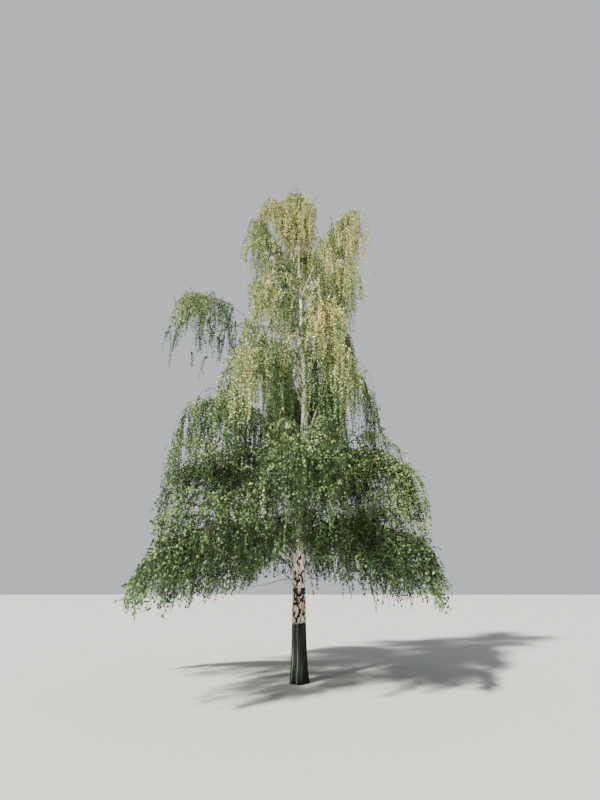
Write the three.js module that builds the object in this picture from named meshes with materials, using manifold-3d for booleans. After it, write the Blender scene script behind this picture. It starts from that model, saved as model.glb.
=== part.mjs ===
// A weeping silver birch, 13.4 m tall, in millimetres, with +Z up.
// The origin is the middle of the flat cut under the trunk, at ground level.
// One trunk runs up through the crown. Tiers of boughs leave it, and each bough ends where a mass of foliage
// takes over: a stem that carries on along the bough's own line, shoots that arch out of it and hang, and
// blades on the shoots, each of which stands for a hanging spray of small leaves.

import * as THREE from "three";
import { mergeVertices } from "three/addons/utils/BufferGeometryUtils.js";
import Module from "manifold-3d";

const wasm = await Module();
wasm.setup();
const { Manifold, Mesh: SolidMesh } = wasm;

// Colours
const BARK_WHITE = 0xdbd4c6;
const BOUGH_BROWN = 0x94837a;
const UPPER_OLIVE = 0xb3b482;
const MIDDLE_GREEN = 0x9daa78;
const LOWER_GREEN = 0x8ba675;

// Trunk
const TRUNK_HEIGHT = 12600;
const BREAST_HEIGHT = 1300;
const BREAST_RADIUS = 135;
const TIP_RADIUS = 9;
const FLARE_RADIUS = 48; // how far the root flare adds to the radius at the ground
const FLARE_HEIGHT = 330;
const ROOT_SPURS = 5;
const SPUR_DEPTH = 0.3; // share of the flare that stands in spurs
const SPUR_TURN = 0.5; // radians
const BOW_OUT = 180; // the trunk bows to +X, most at BOW_HEIGHT, and its top leans back a little
const BOW_HEIGHT = 6500;
const BOW_SPREAD = 2600;
const TOP_LEAN = -40;
const TRUNK_SIDES = 16;
const TRUNK_STEPS = 18;
const STEP_CROWDING = 1.5; // steps are closer together at the foot

// Crown
const CROWN_SKEW = 0.16; // limbs reach further towards -X, and less towards +X, by this share
const CLEARANCE = 0.3; // between pieces that meet
const FREE_GAP = 3; // between a twig or blade and a limb that it must not touch
const CELL_MARGIN = 8; // how much nearer, at least, than to the space of another mass
const CELL_FLATTENING = 0.75; // spaces are taller than they are wide
const HEARTS = [0.1, 0.5, 0.95]; // along a mass's stem, each giving its share of the mass's space
const HEART_DROP = 0.35; // of the mass's hang, under the stem
const LIMB_WANDER = 0.035; // sideways sway of a limb, as a share of its reach

// Each tier's boughs leave the trunk on these bearings (degrees from +X towards +Y), the first at `height`
// and each next one `climb` higher. A limb rises by `lift` to its crest, at the share `crest` of its reach.
// `bare` is the share of the limb that is bough, `spread` how far its shoots stand out, `hang` how far they fall.
const TIERS = [
  {
    name: "skirt", bearings: [176, 232, 328, 32, 105], height: 2150, climb: 100,
    reach: 2800, lift: 480, crest: 0.5, bare: 0.28, spread: 950, hang: 520, shoots: 9, leaf: LOWER_GREEN,
  },
  {
    name: "low", bearings: [197, 272, 345, 50, 130], height: 2950, climb: 190,
    reach: 2400, lift: 1100, crest: 0.62, bare: 0.26, spread: 950, hang: 1000, shoots: 9, leaf: LOWER_GREEN,
  },
  {
    name: "middle", bearings: [180, 240, 310, 20, 95], height: 4050, climb: 230,
    reach: 2250, lift: 1900, crest: 0.76, bare: 0.26, spread: 850, hang: 1300, shoots: 9, leaf: MIDDLE_GREEN,
  },
  {
    name: "upper", bearings: [205, 285, 25, 120], height: 5700, climb: 230,
    reach: 1650, lift: 1850, crest: 0.87, bare: 0.26, spread: 750, hang: 1300, shoots: 8, leaf: MIDDLE_GREEN,
  },
  {
    name: "arm", bearings: [178], height: 6150, climb: 0,
    reach: 2950, lift: 3450, crest: 1.12, bare: 0.55, spread: 600, hang: 1150, shoots: 8, leaf: UPPER_OLIVE,
  },
  {
    name: "high", bearings: [240, 330, 50, 150], height: 7300, climb: 250,
    reach: 1600, lift: 1950, crest: 0.9, bare: 0.26, spread: 700, hang: 1200, shoots: 8, leaf: MIDDLE_GREEN,
  },
  {
    name: "crest", bearings: [195, 80], height: 9050, climb: 300,
    reach: 1300, lift: 2450, crest: 1.05, bare: 0.26, spread: 600, hang: 1200, shoots: 8, leaf: UPPER_OLIVE,
  },
  {
    name: "shoulder", bearings: [350], height: 8950, climb: 0,
    reach: 2050, lift: 3150, crest: 1.05, bare: 0.34, spread: 600, hang: 1300, shoots: 8, leaf: UPPER_OLIVE,
  },
  {
    name: "top", bearings: [200, 340, 90], height: 10700, climb: 260,
    reach: 780, lift: 1900, crest: 1.15, bare: 0, spread: 500, hang: 1000, shoots: 6, leaf: UPPER_OLIVE,
  },
  {
    name: "leader", bearings: [250], height: TRUNK_HEIGHT, climb: 0,
    reach: 60, lift: 800, crest: 1.3, bare: 0, spread: 420, hang: 900, shoots: 6, leaf: UPPER_OLIVE,
  },
];

// Limbs
const LIMB_ROOT_RADIUS = 0.011; // of the limb's whole reach and lift
const LIMB_END_RADIUS = 12;
const LIMB_SLIMMING = 0.8; // power of the taper
const BOUGH_SIDES = 5;
const BOUGH_STEPS = 3;
const STEM_SIDES = 4;
const STEM_STEPS = 3;
const STEM_END = 0.94; // the last place on a stem from which anything grows
const LINE_STEP = 0.01; // share of a line over which its way is measured

// Shoots and blades
const SHOOT_SIDES = 3;
const SHOOT_STEPS = 2;
const SHOOT_RADIUS = 9;
const SHOOT_TIP_RADIUS = 6;
const SHOOT_RISE = 0.3; // of its spread, before it falls
const SHOOT_TRIES = [1, 0.78, 0.58, 0.4]; // shares of its size at which a shoot is tried, until it fits its space
const SIDE_BLADES = [0.4]; // places along each shoot; one more blade hangs on from its end
const SIDE_LEAN = [0.3, 0.7]; // radians from straight down
const SIDE_TURN = [0.8, 1.9]; // radians from the way that its shoot or stem runs
const STEM_BLADES = 5; // hanging straight from each stem
const STEM_LEAN = [0, 0.5]; // radians from straight down
const BLADE_LENGTH = 0.85; // of the mass's hang, with the limits below
const BLADE_SHORTEST = 560;
const BLADE_LONGEST = 1050;
const BLADE_SIZES = [0.85, 1.15]; // from one blade to another
const BLADE_TRIES = [1, 0.8, 0.62, 0.46]; // shares of its length at which a blade is tried
const BLADE_WIDTH = 0.45; // of its length
const BLADE_THICKNESS = 0.04; // of its length
const BLADE_WIDEST = 0.4; // along its length
const BLADE_SUNK = 3; // how far its root is sunk past the middle of its shoot

// A number from 0 to 1 that depends only on the mass's seed and on which draw it is.
function chance(seed, draw) {
  const wave = Math.sin(seed * 12.9898 + draw * 78.233) * 43758.5453;
  return wave - Math.floor(wave);
}

const radians = (degrees) => (degrees * Math.PI) / 180;
const mix = (a, b, share) => a + (b - a) * share;

// The middle of the trunk at a height.
function trunkMiddle(z) {
  const away = (z - BOW_HEIGHT) / BOW_SPREAD;
  const foot = BOW_HEIGHT / BOW_SPREAD;
  const bow = BOW_OUT * (Math.exp(-away * away) - Math.exp(-foot * foot));
  return new THREE.Vector3(bow + (TOP_LEAN * z) / TRUNK_HEIGHT, 0, z);
}

// The trunk's radius at a height and round it, with the root spurs at its foot.
function trunkRadius(z, turn) {
  const taper = mix(BREAST_RADIUS, TIP_RADIUS, (z - BREAST_HEIGHT) / (TRUNK_HEIGHT - BREAST_HEIGHT));
  const spurs = 1 + SPUR_DEPTH * Math.cos(ROOT_SPURS * turn + SPUR_TURN);
  return taper + FLARE_RADIUS * Math.exp(-z / FLARE_HEIGHT) * spurs;
}

// A closed skin over a row of rings of points, flat at both ends. A ring of one point is a pointed end.
function skinOver(rings) {
  const positions = rings.flat().flatMap((p) => [p.x, p.y, p.z]);
  const faces = [];
  const starts = [];
  let count = 0;
  for (const ring of rings) {
    starts.push(count);
    count += ring.length;
  }
  rings.slice(1).forEach((ring, i) => {
    const below = rings[i];
    const sides = below.length;
    for (let k = 0; k < sides; k++) {
      const next = (k + 1) % sides;
      const a = starts[i] + k;
      const b = starts[i] + next;
      if (ring.length === 1) faces.push(a, b, starts[i + 1]);
      else faces.push(a, b, starts[i + 1] + next, a, starts[i + 1] + next, starts[i + 1] + k);
    }
  });
  const last = rings.length - 1;
  for (let k = 1; k < rings[0].length - 1; k++) faces.push(0, k + 1, k);
  for (let k = 1; k < rings[last].length - 1; k++) faces.push(starts[last], starts[last] + k, starts[last] + k + 1);
  const skin = new THREE.BufferGeometry();
  skin.setAttribute("position", new THREE.Float32BufferAttribute(positions, 3));
  skin.setIndex(faces);
  return skin;
}

// A tapering tube along a line, which gives a point for each share from 0 to 1. Its rings stand square to the
// line and are carried along it with no twist, with a flat side down. A radius of 0 makes a pointed end.
function taperedTube(line, radii, sides) {
  const across = new THREE.Vector3();
  const steps = radii.length - 1;
  let way = null;
  const rings = radii.map((radius, i) => {
    const share = i / steps;
    const point = line(share);
    const ahead = line(share + LINE_STEP).sub(line(share - LINE_STEP)).normalize();
    if (way) across.applyQuaternion(new THREE.Quaternion().setFromUnitVectors(way, ahead));
    else if (Math.hypot(ahead.x, ahead.y) > 1e-3) across.set(-ahead.y, ahead.x, 0);
    else across.set(1, 0, 0);
    across.addScaledVector(ahead, -across.dot(ahead)).normalize();
    way = ahead;
    if (radius === 0) return [point];
    const up = ahead.clone().cross(across);
    return Array.from({ length: sides }, (_, k) => {
      const turn = (2 * Math.PI * (k + 0.5)) / sides - Math.PI / 2;
      return point
        .clone()
        .addScaledVector(across, radius * Math.cos(turn))
        .addScaledVector(up, radius * Math.sin(turn));
    });
  });
  return skinOver(rings);
}

// The solid inside a closed geometry.
function solidOf(geometry) {
  const bare = new THREE.BufferGeometry();
  bare.setAttribute("position", geometry.getAttribute("position"));
  bare.setIndex(geometry.index);
  const merged = mergeVertices(bare, 1e-3);
  return new Manifold(
    new SolidMesh({
      numProp: 3,
      vertProperties: merged.attributes.position.array,
      triVerts: new Uint32Array(merged.index.array),
    }),
  );
}

// The geometry of a solid's one body. A loose scrap is dropped.
function geometryOf(solid) {
  const bodies = solid.decompose().sort((a, b) => b.volume() - a.volume());
  const mesh = bodies[0].getMesh();
  const geometry = new THREE.BufferGeometry();
  geometry.setAttribute("position", new THREE.Float32BufferAttribute(mesh.vertProperties, 3));
  geometry.setIndex(new THREE.Uint32BufferAttribute(mesh.triVerts, 1));
  return geometry;
}

// The trunk as a skin of rings, `extra` thicker all round. The ends of a thicker one run past the real ends.
function trunkSolid(extra) {
  const rings = Array.from({ length: TRUNK_STEPS + 1 }, (_, i) => {
    const z = TRUNK_HEIGHT * (i / TRUNK_STEPS) ** STEP_CROWDING;
    const past = i === TRUNK_STEPS ? extra : 0;
    const middle = trunkMiddle(z);
    return Array.from({ length: TRUNK_SIDES }, (_, k) => {
      const turn = (2 * Math.PI * k) / TRUNK_SIDES;
      const radius = trunkRadius(z, turn) + extra;
      return new THREE.Vector3(
        middle.x + radius * Math.cos(turn),
        middle.y + radius * Math.sin(turn),
        z + past,
      );
    });
  });
  return solidOf(skinOver(rings));
}

// A limb's line, from the middle of the trunk to the tip of its mass.
function limbPoint(limb, share) {
  const across = share / limb.crest;
  const sway = limb.reach * LIMB_WANDER * Math.sin(Math.PI * 2 * share + limb.phase) * share;
  const rise = limb.lift * (2 * across - across * across);
  return new THREE.Vector3(
    limb.root.x + Math.cos(limb.bearing) * limb.reach * share - Math.sin(limb.bearing) * sway,
    limb.root.y + Math.sin(limb.bearing) * limb.reach * share + Math.cos(limb.bearing) * sway,
    limb.root.z + rise,
  );
}

// A point of a line that is drawn in straight steps, as the skin of its tube is.
function onSteps(line, steps, share) {
  const step = Math.min(Math.floor(share * steps), steps - 1);
  return line(step / steps).lerp(line((step + 1) / steps), share * steps - step);
}

function limbRadius(limb, share) {
  return mix(limb.rootRadius, LIMB_END_RADIUS, share ** LIMB_SLIMMING);
}

// Every limb of the crown, worked out from its tier.
function growLimbs() {
  const limbs = [];
  for (const tier of TIERS) {
    tier.bearings.forEach((degrees, k) => {
      const bearing = radians(degrees);
      const seed = limbs.length + 1;
      const reach = tier.reach * (1 - CROWN_SKEW * Math.cos(bearing));
      const limb = {
        ...tier,
        seed,
        bearing,
        reach,
        node: tier.bearings.length > 1 ? `${tier.name}_${k + 1}` : tier.name,
        root: trunkMiddle(tier.height + tier.climb * k),
        phase: chance(seed, 0) * Math.PI * 2,
        rootRadius: LIMB_ROOT_RADIUS * Math.hypot(reach, tier.lift),
      };
      limb.hearts = HEARTS.map((along) => {
        const heart = limbPoint(limb, mix(limb.bare, 1, along));
        return heart.setZ(heart.z - limb.hang * HEART_DROP);
      });
      limbs.push(limb);
    });
  }
  return limbs;
}

// A stretch of a limb as a solid, from one share of its line to another.
function limbStretch(limb, from, to, radii, sides) {
  return solidOf(taperedTube((share) => limbPoint(limb, mix(from, to, share)), radii, sides));
}

function radiiAlong(limb, from, to, steps) {
  return Array.from({ length: steps + 1 }, (_, i) => limbRadius(limb, mix(from, to, i / steps)));
}

// The bough, cut clear of the trunk.
function boughSolid(limb, thickTrunk) {
  const radii = radiiAlong(limb, 0, limb.bare, BOUGH_STEPS);
  return limbStretch(limb, 0, limb.bare, radii, BOUGH_SIDES).subtract(thickTrunk);
}

// The line of the stem alone, from the bough's tip on.
function stemPoint(limb, share) {
  return onSteps((along) => limbPoint(limb, mix(limb.bare, 1, along)), STEM_STEPS, share);
}

// The stem of a mass, pointed at its far end. It starts a clearance past its bough's tip, or clear of the trunk.
function stemSolid(limb, thickTrunk) {
  const radii = radiiAlong(limb, limb.bare, 1, STEM_STEPS);
  radii[STEM_STEPS] = 0;
  const stem = limbStretch(limb, limb.bare, 1, radii, STEM_SIDES);
  if (limb.bare === 0) return stem.subtract(thickTrunk);
  const past = limbPoint(limb, limb.bare + LINE_STEP).sub(limbPoint(limb, limb.bare - LINE_STEP));
  return stem.translate(past.setLength(CLEARANCE).toArray());
}

// Shoot number k of a mass: the line that it follows, for one of its tries.
function shootLine(limb, k, size) {
  const draw = (n) => chance(limb.seed, 10 * (k + 1) + n);
  const along = (k + 0.8) / limb.shoots;
  const start = stemPoint(limb, Math.min(along, STEM_END));
  const side = k % 2 ? 1 : -1;
  const turned = side * radians(mix(112, 30, along) + mix(-16, 16, draw(1)));
  const bearing = limb.bearing + turned;
  const spread = size * limb.spread * mix(1.05, 0.6, along) * mix(0.75, 1.2, draw(2));
  const fall = size * limb.hang * mix(0.6, 1.1, draw(3));
  const line = (share) => {
    const out = spread * (1 - (1 - share) ** 2);
    const drop = fall * share ** 2 - spread * SHOOT_RISE * share * (1 - share) * 2;
    return new THREE.Vector3(
      start.x + Math.cos(bearing) * out,
      start.y + Math.sin(bearing) * out,
      start.z - drop,
    );
  };
  return Object.assign(line, { bearing });
}

function shootSolid(line) {
  const radii = Array.from({ length: SHOOT_STEPS + 1 }, (_, i) => mix(SHOOT_RADIUS, SHOOT_TIP_RADIUS, i / SHOOT_STEPS));
  return solidOf(taperedTube(line, radii, SHOOT_SIDES));
}

// A spray of leaves as one blade of six faces: a flat outline with a low keel, from its root along a way. The
// flat of it stands in the plane of that way and of `flat`.
function bladeSolid(root, way, flat, length) {
  const across = flat.clone().addScaledVector(way, -flat.dot(way)).normalize();
  const keel = way.clone().cross(across);
  const at = (out, side, up) =>
    root.clone().addScaledVector(way, out).addScaledVector(across, side).addScaledVector(keel, up);
  const halfWidth = (length * BLADE_WIDTH) / 2;
  const waist = length * BLADE_WIDEST;
  const points = [
    at(-BLADE_SUNK, 0, 0),
    at(waist, halfWidth, 0),
    at(waist, 0, length * BLADE_THICKNESS),
    at(waist, -halfWidth, 0),
    at(length, 0, 0),
  ];
  const blade = new THREE.BufferGeometry().setFromPoints(points);
  blade.setIndex([0, 2, 1, 0, 3, 2, 0, 1, 3, 4, 1, 2, 4, 2, 3, 4, 3, 1]);
  return solidOf(blade);
}

// Whether every point of a solid lies in a mass's own space, nearer to one of its hearts than to any other's.
function inOwnSpace(solid, limb, limbs) {
  const { vertProperties: at, numVert } = solid.getMesh();
  const nearest = (hearts, i) =>
    Math.min(...hearts.map((heart) => Math.hypot(at[i] - heart.x, at[i + 1] - heart.y, CELL_FLATTENING * (at[i + 2] - heart.z))));
  for (let i = 0; i < 3 * numVert; i += 3) {
    const own = nearest(limb.hearts, i) + CELL_MARGIN;
    if (limbs.some((other) => other !== limb && nearest(other.hearts, i) < own)) return false;
  }
  return true;
}

function boxesApart(a, b) {
  for (let i = 0; i < 3; i++) {
    if (a.min[i] - FREE_GAP > b.max[i] || b.min[i] - FREE_GAP > a.max[i]) return true;
  }
  return false;
}

// Whether a piece stays clear of every other piece of a list, less the one that it grows on.
function clearOf(piece, others, grownOn) {
  return others.every(
    (other) =>
      other === grownOn || boxesApart(piece.box, other.box) || piece.solid.minGap(other.solid, FREE_GAP) >= FREE_GAP,
  );
}

const pieceOf = (solid) => ({ solid, box: solid.boundingBox() });

const levelWay = (bearing) => new THREE.Vector3(Math.cos(bearing), Math.sin(bearing), 0);

// The way of a blade that leans from straight down towards a bearing.
function leaningWay(lean, bearing) {
  return new THREE.Vector3(Math.sin(lean) * Math.cos(bearing), Math.sin(lean) * Math.sin(bearing), -Math.cos(lean));
}

// A mass of foliage: its stem with shoots and blades fused on, less those that leave its space or that touch
// anything of what stands already. What is kept joins that list.
function massSolid(limb, limbs, standing, stem) {
  const bladeLength = THREE.MathUtils.clamp(BLADE_LENGTH * limb.hang, BLADE_SHORTEST, BLADE_LONGEST);
  const grown = [stem];
  const grow = (solids, grownOn) => {
    const piece = solids.map(pieceOf).find((one) => inOwnSpace(one.solid, limb, limbs) && clearOf(one, standing, grownOn));
    if (!piece) return null;
    grown.push(piece);
    standing.push(piece);
    return piece;
  };
  const growBlade = (root, way, flat, grownOn, draw) => {
    const full = bladeLength * mix(...BLADE_SIZES, draw(3));
    grow(BLADE_TRIES.map((part) => bladeSolid(root, way, flat, full * part)), grownOn);
  };

  for (let k = 0; k < limb.shoots; k++) {
    const lines = SHOOT_TRIES.map((size) => shootLine(limb, k, size));
    const solids = lines.map(shootSolid);
    const shoot = grow(solids, stem);
    if (!shoot) continue;
    const line = lines[solids.indexOf(shoot.solid)];
    const drawEnd = (n) => chance(limb.seed, 10 * (k + 1) + 100 + n);
    const onward = line(1).sub(line(1 - 1 / SHOOT_STEPS)).normalize();
    growBlade(line(1), onward, levelWay(drawEnd(4) * Math.PI), shoot, drawEnd);
    SIDE_BLADES.forEach((share, side) => {
      const draw = (n) => chance(limb.seed, 10 * (k + 1) + 200 + 100 * side + n);
      const turn = line.bearing + (side % 2 ? 1 : -1) * mix(...SIDE_TURN, draw(2));
      const way = leaningWay(mix(...SIDE_LEAN, draw(1)), turn);
      growBlade(onSteps(line, SHOOT_STEPS, share), way, levelWay(line.bearing), shoot, draw);
    });
  }
  for (let k = 0; k < STEM_BLADES; k++) {
    const draw = (n) => chance(limb.seed, 10 * (k + 1) + 500 + n);
    const turn = limb.bearing + (k % 2 ? 1 : -1) * mix(...SIDE_TURN, draw(2));
    const way = leaningWay(mix(...STEM_LEAN, draw(1)), turn);
    growBlade(stemPoint(limb, (k + 0.5) / STEM_BLADES), way, levelWay(limb.bearing), stem, draw);
  }
  const onward = stemPoint(limb, 1).sub(stemPoint(limb, STEM_END)).normalize();
  growBlade(stemPoint(limb, STEM_END), onward, levelWay(limb.bearing + Math.PI / 2), stem, (n) =>
    chance(limb.seed, 600 + n),
  );
  return Manifold.union(grown.map((piece) => piece.solid));
}

function namedMesh(name, solid, colour, roughness) {
  const mesh = new THREE.Mesh(
    geometryOf(solid),
    new THREE.MeshStandardMaterial({ color: colour, roughness, metalness: 0 }),
  );
  mesh.name = name;
  return mesh;
}

function makeBirch() {
  const birch = new THREE.Group();
  const limbs = growLimbs();
  const trunk = trunkSolid(0);
  const thickTrunk = trunkSolid(CLEARANCE);
  const wood = new Map();
  const keep = (node, solid) => wood.set(node, pieceOf(solid));
  keep("trunk", trunk);
  for (const limb of limbs) {
    if (limb.bare > 0) keep(`bough_${limb.node}`, boughSolid(limb, thickTrunk));
    keep(`mass_${limb.node}`, stemSolid(limb, thickTrunk));
  }
  birch.add(namedMesh("trunk", trunk, BARK_WHITE, 0.8));
  const standing = [...wood.values()];
  for (const limb of limbs) {
    const bough = `bough_${limb.node}`;
    if (wood.has(bough)) birch.add(namedMesh(bough, wood.get(bough).solid, BOUGH_BROWN, 0.85));
    const mass = `mass_${limb.node}`;
    birch.add(namedMesh(mass, massSolid(limb, limbs, standing, wood.get(mass)), limb.leaf, 0.6));
  }
  return birch;
}

export default makeBirch();
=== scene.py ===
import math

import bpy
import numpy as np
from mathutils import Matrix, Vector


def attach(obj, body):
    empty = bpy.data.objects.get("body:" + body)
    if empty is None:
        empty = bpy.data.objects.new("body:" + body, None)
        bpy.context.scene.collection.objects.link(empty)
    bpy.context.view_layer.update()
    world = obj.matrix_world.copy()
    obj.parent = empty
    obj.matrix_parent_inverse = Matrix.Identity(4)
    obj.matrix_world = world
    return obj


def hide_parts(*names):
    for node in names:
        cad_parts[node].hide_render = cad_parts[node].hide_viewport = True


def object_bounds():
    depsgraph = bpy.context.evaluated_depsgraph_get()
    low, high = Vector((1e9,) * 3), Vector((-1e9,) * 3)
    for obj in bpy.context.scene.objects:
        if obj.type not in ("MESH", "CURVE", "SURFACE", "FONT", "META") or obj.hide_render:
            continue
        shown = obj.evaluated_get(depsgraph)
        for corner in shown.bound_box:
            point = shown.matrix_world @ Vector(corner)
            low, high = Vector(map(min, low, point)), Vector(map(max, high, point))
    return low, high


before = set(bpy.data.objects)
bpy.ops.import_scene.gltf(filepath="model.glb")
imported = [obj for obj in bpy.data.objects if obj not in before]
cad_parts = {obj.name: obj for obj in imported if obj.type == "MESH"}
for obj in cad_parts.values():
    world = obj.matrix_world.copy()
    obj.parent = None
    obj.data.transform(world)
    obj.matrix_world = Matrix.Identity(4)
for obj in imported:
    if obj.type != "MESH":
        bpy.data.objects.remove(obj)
cad_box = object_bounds()

# Camera
# The photograph was taken with a phone held upright at eye height, about ten metres from the trunk and
# tilted up so that the whole tree fits.

EYE_HEIGHT = 1.6
STAND_OFF = 9.78
CAMERA_ASIDE = 0.02
TILT = math.radians(24.06)
LENS = 19.35             # in millimetres, as the next one is
FILM_HEIGHT = 36

camera = bpy.data.objects.new("camera", bpy.data.cameras.new("camera"))
camera.data.sensor_fit = "VERTICAL"
camera.data.sensor_height = FILM_HEIGHT
camera.data.lens = LENS
camera.location = (CAMERA_ASIDE, -STAND_OFF, EYE_HEIGHT)
camera.rotation_euler = (math.pi / 2 + TILT, 0, 0)
bpy.context.collection.objects.link(camera)
bpy.context.scene.camera = camera

# Floor and light
# A plain pale studio floor out to the horizon, soft light from all round, and a broad warm key light high
# on the left, on the side that is lit in the photograph.

FLOOR_SIDE = 600
FLOOR_GREY = (0.62, 0.62, 0.60, 1)
FLOOR_ROUGHNESS = 0.9
STUDIO_WHITE = (0.92, 0.95, 1.0, 1)
STUDIO_LIGHT = 0.37      # how strongly the surroundings light the tree
STUDIO_BACKDROP = 0.66   # how bright they look behind it
KEY_STRENGTH = 9.6
KEY_WARMTH = (1.0, 0.97, 0.91)
KEY_BREADTH = math.radians(4)    # as the tree sees it, which softens the edges of shadows
KEY_SLOPE = math.radians(47)     # from straight down
KEY_TURN = math.radians(-40)

half = FLOOR_SIDE / 2
floor_corners = [(-half, -half, 0), (half, -half, 0), (half, half, 0), (-half, half, 0)]
floor_mesh = bpy.data.meshes.new("floor")
floor_mesh.from_pydata(floor_corners, [], [(0, 1, 2, 3)])
floor = bpy.data.objects.new("floor", floor_mesh)
bpy.context.collection.objects.link(floor)
floor_paint = bpy.data.materials.new("floor_paint")
floor_paint.use_nodes = True
shader = floor_paint.node_tree.nodes["Principled BSDF"]
shader.inputs["Base Color"].default_value = FLOOR_GREY
shader.inputs["Roughness"].default_value = FLOOR_ROUGHNESS
floor_mesh.materials.append(floor_paint)

studio = bpy.data.worlds.new("studio")
studio.use_nodes = True
tree = studio.node_tree
light_path = tree.nodes.new("ShaderNodeLightPath")
either = tree.nodes.new("ShaderNodeMixShader")
tree.links.new(light_path.outputs["Is Camera Ray"], either.inputs[0])
for socket, strength in ((either.inputs[1], STUDIO_LIGHT), (either.inputs[2], STUDIO_BACKDROP)):
    surroundings = tree.nodes.new("ShaderNodeBackground")
    surroundings.inputs["Color"].default_value = STUDIO_WHITE
    surroundings.inputs["Strength"].default_value = strength
    tree.links.new(surroundings.outputs["Background"], socket)
tree.links.new(either.outputs["Shader"], tree.nodes["World Output"].inputs["Surface"])
bpy.context.scene.world = studio

key = bpy.data.objects.new("key", bpy.data.lights.new("key", "SUN"))
key.data.energy = KEY_STRENGTH
key.data.angle = KEY_BREADTH
key.data.color = KEY_WARMTH
key.rotation_euler = (KEY_SLOPE, 0, KEY_TURN)
bpy.context.collection.objects.link(key)

# Trunk
# One straight-grained stem that tapers from its flared foot to the tip of the tree. Above a metre its bark
# is pale paper with rough black patches; below that it has split into dark rugged ridges, coloured darker
# still with painted shade across the whole foot and nearly black painted shade in the furrows.

TRUNK_HEIGHT = 12.6
BREAST_HEIGHT = 1.3
BREAST_RADIUS = 0.135
TIP_RADIUS = 0.009
FLARE_RADIUS = 0.048     # how far the root flare adds to the radius at the ground
FLARE_HEIGHT = 0.33
ROOT_SPURS = 5
SPUR_DEPTH = 0.3         # share of the flare that stands in spurs
SPUR_TURN = 0.5
BOW_OUT = 0.18           # to the right, most at BOW_HEIGHT
BOW_HEIGHT = 6.5
BOW_SPREAD = 2.6
TOP_LEAN = -0.04

TRUNK_COLUMNS = 132
FINE_RING = 0.0125       # between rings of the mesh up to FINE_TOP
FINE_TOP = 2.6
COARSE_RINGS = 90
COARSE_SPREAD = 1.1      # power by which the rings above it draw apart

# The bark's patterns are noise on an even cylinder, with so many cells to a metre across and along the stem.
SKIN_RADIUS = 0.15
RUGGED_TOP = 1.02        # where the rugged bark ends, and the painted shade on the foot with it
RUGGED_EDGE = 0.02
RUGGED_FRAY = 0.10
FRAY_CELLS = (11, 11, 3)
RIDGE_DEPTH = 0.018
RIDGE_LEVEL = 0.75       # of the pattern, level with the even stem
RIDGE_CELLS = (30, 30, 1.9)
RIDGE_SHARE = 0.65       # the rest is fine ridges
FINE_RIDGE_CELLS = (62, 62, 6)
RIB_TURNS = (3.86, 4.50)  # two pale ribs on the left of the foot
RIB_WIDTH = 0.085
RIB_DEPTH = 0.010
RIB_WANDER = 0.10
RIB_CELLS = 2.2
PATCH_DEPTH = 0.005
PATCH_LEVEL = 0.8
PATCH_EDGE = (0.56, 0.62)
FLAKE_CELLS = (21, 21, 11)
FLAKE_SHARE = 0.45       # the rest is chips
CHIP_CELLS = (48, 48, 26)
COVER_CHANGE = 0.10
MORE_PATCHES = (1.5, 2.3)    # the heights over which the lower stem's extra patches end
FEWER_PATCHES = (2.2, 3.2)   # and over which they grow rarer still
DIMPLE_DEPTH = 0.0015
DIMPLE_CELLS = (20, 20, 40)
THIN_STEM = 0.08         # a stem thinner than this radius has shallower relief
STAIN_FADES = (2.1, 3.4)     # heights over which the lower stem's tan turns white
STAIN_FRAY = 4
STAIN_RETURNS = (5.5, 8)     # and over which half of it comes back
STAIN_RETURN = 0.5


def trunk_middle(z):
    bow = np.exp(-((z - BOW_HEIGHT) / BOW_SPREAD) ** 2) - math.exp(-(BOW_HEIGHT / BOW_SPREAD) ** 2)
    return BOW_OUT * bow + TOP_LEAN * z / TRUNK_HEIGHT


def trunk_radius(z, turn):
    share = (z - BREAST_HEIGHT) / (TRUNK_HEIGHT - BREAST_HEIGHT)
    taper = BREAST_RADIUS + (TIP_RADIUS - BREAST_RADIUS) * share
    spurs = 1 + SPUR_DEPTH * np.cos(ROOT_SPURS * turn + SPUR_TURN)
    return taper + FLARE_RADIUS * np.exp(-z / FLARE_HEIGHT) * spurs


# any large uneven numbers will do here, and chance has the plain solids' own
NOISE_STEPS = (127.1, 311.7, 74.7)
SCRAMBLE = 43758.5453


def smooth(low, high, value):
    share = np.clip((value - low) / (high - low), 0, 1)
    return share * share * (3 - 2 * share)


def noise(points, seed):
    """Smooth noise from 0 to 1 at points, one cell to a unit."""
    cell = np.floor(points)
    part = points - cell
    part = part * part * (3 - 2 * part)
    total = np.zeros(len(points))
    for corner in np.ndindex(2, 2, 2):
        wave = np.sin((cell + corner) @ NOISE_STEPS + seed) * SCRAMBLE
        weight = np.prod(np.where(corner, part, 1 - part), axis=1)
        total += (wave - np.floor(wave)) * weight
    return total


def crests(points, seed):
    """Noise folded at its middle, which makes sharp ridges."""
    return 1 - np.abs(2 * noise(points, seed) - 1)


def mesh_of(name, points, faces, tints=None):
    """An object from an array of points and arrays of faces, each array with its own number of corners."""
    mesh = bpy.data.meshes.new(name)
    mesh.vertices.add(len(points))
    mesh.vertices.foreach_set("co", np.ascontiguousarray(points, dtype=np.float32).ravel())
    corners = np.concatenate([np.full(len(part), part.shape[1]) for part in faces])
    mesh.loops.add(int(corners.sum()))
    mesh.loops.foreach_set("vertex_index", np.concatenate([part.ravel() for part in faces]).astype(np.int32))
    mesh.polygons.add(len(corners))
    mesh.polygons.foreach_set("loop_start", (np.cumsum(corners) - corners).astype(np.int32))
    if tints is not None:
        mesh.polygons.foreach_set("material_index", np.ascontiguousarray(tints, dtype=np.int32))
    mesh.update(calc_edges=True)
    piece = bpy.data.objects.new(name, mesh)
    bpy.context.collection.objects.link(piece)
    return piece


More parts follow.
